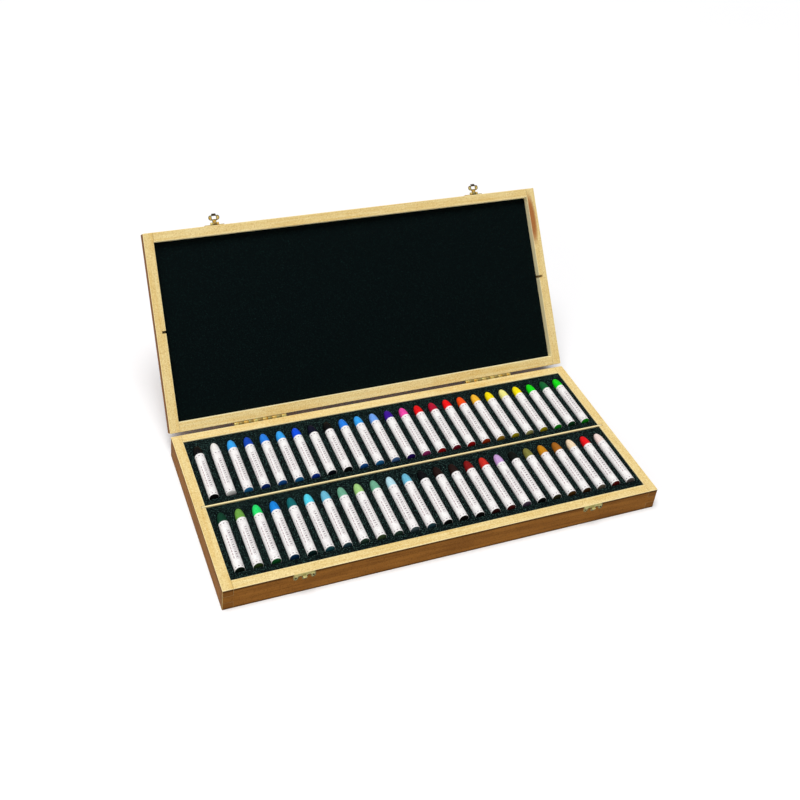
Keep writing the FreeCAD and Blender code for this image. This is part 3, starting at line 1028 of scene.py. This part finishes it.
def make_leaf(side, body, first, finish):
    """A hinge leaf with every second knuckle, and its three screws, in place of the CAD leaf."""
    metal = settings("metal")
    node, upright = f"hinge_{side}_{body}_leaf", body == "lid"
    points = [shut @ v.co if upright else v.co for v in frame["nodes"][node].data.vertices]
    low = Vector([min(p[axis] for p in points) for axis in range(3)])
    high = Vector([max(p[axis] for p in points) for axis in range(3)])
    centre = Vector(((low.x + high.x) / 2, lid_axis.y, lid_axis.z))
    pin_low, pin_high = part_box(f"hinge_{side}_pin")
    span, radius = pin_high.x - pin_low.x, high.y - lid_axis.y
    back = half_depth - lid_axis.y
    relief, overlap, gap, sheet_corner, barrel_edge = 0.4 * MM, 0.2 * MM, 0.075 * MM, 0.5 * MM, 0.25 * MM
    clear, reach = radius + relief, high.z - lid_axis.z if upright else lid_axis.z - low.z
    way = 1 if upright else -1
    shape = bmesh.new()
    corner = metal.leaf_corner
    side_points = [
        (span / 2, way * clear), (span / 2, way * (reach - corner)), (span / 2 - corner, way * reach),
    ]
    cut_sheet(shape, side_points, back, back + metal.sheet, sheet_corner, metal.leaf_edge)
    count = 11
    step = span / count
    for index in range(first, count, 2):
        x0, x1 = index * step - span / 2 + gap, (index + 1) * step - span / 2 - gap
        web = sorted((0, way * (clear + overlap)))
        block(shape, (x0, back, web[0]), (x1, back + metal.sheet, web[1]))
        barrel(shape, radius, x0, x1, 28, barrel_edge)
    placed = Matrix.Translation(centre)
    if upright:
        placed = swung_open @ placed
    shape.transform(placed)
    new_piece(node + "_brass", shape, body, [finish], [node], math.radians(35))
    screws = bmesh.new()
    chance = random.Random(node)
    seat = back + metal.sheet - 0.02 * MM
    for x in (-span * 0.36, 0, span * 0.36):
        screw_head(screws, metal, x, seat, way * (clear + reach) / 2, chance.uniform(0, 3))
    screws.transform(placed)
    new_piece(node + "_screws", screws, body, [finish], (), math.radians(35))


class PASTEL_CASE_OT_hinges(bpy.types.Operator):
    """Add the two butt hinges and their screws"""

    bl_idname = "pastel_case.hinges"
    bl_label = "Hinges"

    def execute(self, context):
        metal = settings("metal")
        bright = finished("brass_bright", brass_finish, metal, 0.0, 0.1)
        # The lid's leaves take a darker copy of the brass.
        dark_leaf_brass = finished("brass_dull", brass_finish, metal, 0.2, 0.55, shut)
        for side in ("left", "right"):
            make_leaf(side, "base", 0, bright)
            make_leaf(side, "lid", 1, dark_leaf_brass)
            dress(f"hinge_{side}_pin", bright)
        return {"FINISHED"}


# Latches


def wing_side(rim_edge, far_edge, span):
    """The right edge of a latch plate: a bar at the rim, a drooping lobe at its end and a root in the middle."""
    drop = far_edge - rim_edge
    half = span / 2
    side = [
        (half * 0.90, 0), (half, drop * 0.26), (half * 0.985, drop * 0.78), (half * 0.78, drop * 0.985),
        (half * 0.56, drop * 0.80), (half * 0.58, drop * 0.52), (half * 0.40, drop * 0.33),
        (half * 0.22, drop * 0.52), (half * 0.21, drop),
    ]
    return [(x, rim_edge + z) for x, z in side]


def nail_head(shape, metal, x, y, z, size=1.0):
    """Adds a domed nail head that looks along -Y."""
    placed = Matrix.Translation((x, y, z)) @ Matrix.Diagonal((1, 0.45, 1, 1)) @ Matrix.Rotation(math.pi / 2, 4, "X")
    bmesh.ops.create_uvsphere(
        shape, u_segments=16, v_segments=8, radius=metal.nail_radius * size, matrix=placed)


class PASTEL_CASE_OT_latches(bpy.types.Operator):
    """Add the latch plates, keepers, hasps and their nails"""

    bl_idname = "pastel_case.latches"
    bl_label = "Latches"

    def execute(self, context):
        metal = settings("metal")
        # The keepers take most of the painted highlight.
        keeper_brass = finished("brass_pale", brass_finish, metal, 0.7, 0.16)
        lid_brass = finished("brass_gold", brass_finish, metal, 0.0, 0.0, shut)
        for side in ("left", "right"):
            pivot = shut @ Vector(joints[f"hasp_{side}_hinge"]["pos_m"])
            self.plates(side, pivot, keeper_brass, lid_brass)
            self.hasp(side, pivot, lid_brass)
            dress(f"latch_{side}_pin", lid_brass)
        return {"FINISHED"}

    def plates(self, side, pivot, keeper_brass, lid_brass):
        """The keeper on the base and the plate on the lid, each with two nails."""
        metal = settings("metal")
        face = -half_depth - pivot.y
        root = face - metal.sheet
        corner, slope, nose_edge, stud_drop = 1.1 * MM, 1.1 * MM, 0.3 * MM, 1.1 * MM
        for node, body in ((f"latch_{side}_keeper", "base"), (f"latch_{side}_plate", "lid")):
            turn = shut if body == "lid" else Matrix()
            points = [turn @ v.co - pivot for v in frame["nodes"][node].data.vertices]
            flat = [p for p in points if p.y > face - metal.sheet * 1.05]
            raised = [p for p in points if p.y < face - metal.sheet * 1.05]
            low, high = min(p.z for p in flat), max(p.z for p in flat)
            span = 2 * max(p.x for p in flat)
            rim, far = (high, low) if body == "base" else (low, high)
            shape = bmesh.new()
            inner, outer = min(abs(p.x) for p in raised), max(abs(p.x) for p in raised)
            radius = -min(p.y for p in points)
            notch = (inner, radius * 1.1) if body == "lid" else None
            side_points = wing_side(rim, far, span)
            cut_sheet(shape, side_points, root, face, corner, metal.leaf_edge, None, metal.ring, notch)
            way = 1 if body == "base" else -1
            if body == "base":
                nose_low, nose_high = min(p.z for p in raised), max(p.z for p in raised)
                wedge = bmesh.new()
                corners = [(root, nose_high), (-radius, nose_high), (slope - radius, nose_low), (root, nose_low)]
                flat_face(wedge, [(-outer, y, z) for y, z in corners])
                thickened(wedge, (2 * outer, 0, 0))
                eased_edges(wedge, sharp_edges(wedge), nose_edge, 2)
                add_shape(shape, wedge)
            else:
                for start, end in ((-outer, -inner), (inner, outer)):
                    barrel(shape, radius, start, end, 24, 0.2 * MM)
            placed = (swung_open if body == "lid" else Matrix()) @ Matrix.Translation(pivot)
            shape.transform(placed)
            brass = keeper_brass if body == "base" else lid_brass
            new_piece(node + "_brass", shape, body, [brass], [node], math.radians(35))
            nails = bmesh.new()
            for x in (-span * 0.395, span * 0.395):
                nail_head(nails, metal, x, root, rim - way * (abs(far - rim) * 0.58))
            dark_brass(nails, 0.9, lambda middle: True)
            if body == "base":
                studs = bmesh.new()
                for x in (-span * 0.34, -span * 0.13, span * 0.13, span * 0.34):
                    nail_head(studs, metal, x, root, rim - stud_drop, 0.6)
                add_shape(nails, studs)
            nails.transform(placed)
            new_piece(node + "_nails", nails, body, [brass], (), math.radians(50))

    def hasp(self, side, pivot, brass):
        """The hasp: a knuckle, two round lobes about its window and a lip that curls outwards."""
        metal = settings("metal")
        node = f"latch_{side}_hasp"
        hanging = Matrix.Rotation(math.radians(90), 4, "X")
        points = [hanging @ (shut @ v.co - pivot) for v in frame["nodes"][node].data.vertices]
        tip = min(p.z for p in points)
        lobe = max(p.x for p in points)
        radius = max(p.z for p in points)
        neck, lip, curl_depth, window_place, half_window = 2.1 * MM, 2.2 * MM, 1.4 * MM, -6.4 * MM, 1.6 * MM
        front, back = -metal.sheet / 2, metal.sheet / 2
        side_points = [
            (neck, 0), (neck, -3.5 * MM), (lobe * 0.77, -3.75 * MM), (lobe, -5.2 * MM), (lobe, -7.6 * MM),
            (lobe * 0.77, -9.05 * MM), (lip, -8.7 * MM), (lip * 1.05, tip),
        ]
        window = (2.3 * MM, window_place - half_window, window_place + half_window)
        shape = bmesh.new()
        cut_sheet(shape, side_points, front, back, 1.0 * MM, metal.leaf_edge, window, metal.ring)
        barrel(shape, radius, -neck, neck, 24, 0.2 * MM)
        curl = bmesh.new()
        block(curl, (-lip, -curl_depth, tip), (lip, back, tip + metal.sheet))
        eased_edges(curl, sharp_edges(curl), 0.3 * MM, 3)
        add_shape(shape, curl)
        # The curled lip and the knuckle end of the hasp are darkened.
        dark_end = tip + 2.4 * MM
        bmesh.ops.bisect_plane(
            shape, geom=everything(shape), dist=1e-7, plane_co=(0, 0, dark_end), plane_no=(0, 0, 1))
        dark_brass(shape, 0.95, lambda middle: middle.z < dark_end)
        dark_brass(shape, 0.6, lambda middle: middle.z > -radius)
        placed = swung_open @ Matrix.Translation(pivot) @ hanging.inverted()
        shape.transform(placed)
        new_piece(node + "_brass", shape, "hasp_" + side, [brass], [node], math.radians(35))


# Studio


class PASTEL_CASE_OT_stage(bpy.types.Operator):
    """Add the floor, the lights and the camera"""

    bl_idname = "pastel_case.stage"
    bl_label = "Stage"

    def execute(self, context):
        stage = settings("stage")
        floor = bmesh.new()
        bmesh.ops.create_grid(floor, x_segments=2, y_segments=2, size=stage.floor_size / 2)
        mesh = bpy.data.meshes.new("studio_floor")
        floor.to_mesh(mesh)
        floor.free()
        paper = Finish("studio_floor", roughness=0.9, specular_ior_level=0.2)
        grain = paper.noise(paper.place(), 3, 2)
        dim = tuple(value * 0.97 for value in stage.floor)
        mesh.materials.append(paper.feed(base_color=paper.mix(grain, tuple(stage.floor), dim)))
        piece = bpy.data.objects.new("studio_floor", mesh)
        context.scene.collection.objects.link(piece)

        world = bpy.data.worlds.new("studio")
        world.use_nodes = True
        sky = world.node_tree.nodes["Background"]
        sky.inputs["Color"].default_value = (1, 1, 1, 1)
        sky.inputs["Strength"].default_value = stage.sky
        context.scene.world = world
        context.scene.view_settings.view_transform = "Standard"

        key = bpy.data.lights.new("key_light", "SUN")
        key.energy, key.angle = stage.key, stage.key_angle
        fill = bpy.data.lights.new("fill_light", "AREA")
        fill.energy, fill.size = stage.fill, stage.fill_size
        above, front_left = Vector((-0.3, -0.16, 1.8)), Vector((-1.5, -1.1, 0.9))
        for lamp, place in ((key, above), (fill, front_left)):
            light = bpy.data.objects.new(lamp.name, lamp)
            facing = (-place).to_track_quat("-Z", "Y").to_matrix().to_4x4()
            light.matrix_world = Matrix.Translation(place) @ facing
            context.scene.collection.objects.link(light)

        forward = Vector((
            math.sin(stage.azimuth) * math.cos(stage.elevation),
            math.cos(stage.azimuth) * math.cos(stage.elevation),
            -math.sin(stage.elevation)))
        level = forward.cross(Vector((0, 0, 1))).normalized()
        right = Matrix.Rotation(-stage.roll, 3, forward) @ level
        up = right.cross(forward)
        lens = bpy.data.cameras.new("camera")
        lens.lens, lens.sensor_width, lens.shift_y = stage.lens, 36.0, stage.shift
        lens.clip_start, lens.clip_end = 0.01, 50
        camera = bpy.data.objects.new("camera", lens)
        camera.matrix_world = Matrix.Translation(stage.camera_place) @ Matrix(
            (right, up, -forward)).transposed().to_4x4()
        context.scene.collection.objects.link(camera)
        context.scene.camera = camera
        return {"FINISHED"}


OPERATORS = (
    PASTEL_CASE_OT_stage,
    PASTEL_CASE_OT_boards,
    PASTEL_CASE_OT_foam,
    PASTEL_CASE_OT_sticks,
    PASTEL_CASE_OT_wrappers,
    PASTEL_CASE_OT_hinges,
    PASTEL_CASE_OT_latches,
)

SETTINGS = {
    "wood": PastelCaseWoodSettings,
    "foam": PastelCaseFoamSettings,
    "sticks": PastelCaseStickSettings,
    "pigments": PastelCasePigmentSettings,
    "metal": PastelCaseMetalSettings,
    "stage": PastelCaseStageSettings,
}


class PASTEL_CASE_PT_panel(bpy.types.Panel):
    """The case's operators and settings in the sidebar"""

    bl_idname = "PASTEL_CASE_PT_panel"
    bl_label = "Pastel Case"
    bl_space_type = "VIEW_3D"
    bl_region_type = "UI"
    bl_category = "Pastel Case"

    def draw(self, context):
        for operator in OPERATORS:
            self.layout.operator(operator.bl_idname)
        for name, group in SETTINGS.items():
            box = self.layout.box()
            box.label(text=name.title())
            for field in group.__annotations__:
                box.prop(settings(name), field)


def register():
    for kind in (*SETTINGS.values(), *OPERATORS, PASTEL_CASE_PT_panel):
        bpy.utils.register_class(kind)
    for name, group in SETTINGS.items():
        setattr(bpy.types.Scene, "pastel_case_" + name, PointerProperty(type=group))


def unregister():
    for name in SETTINGS:
        delattr(bpy.types.Scene, "pastel_case_" + name)
    for kind in reversed((*SETTINGS.values(), *OPERATORS, PASTEL_CASE_PT_panel)):
        bpy.utils.unregister_class(kind)


def main():
    register()
    for operator in OPERATORS:
        group, name = operator.bl_idname.split(".")
        getattr(getattr(bpy.ops, group), name)()


if __name__ == "__main__":
    main()
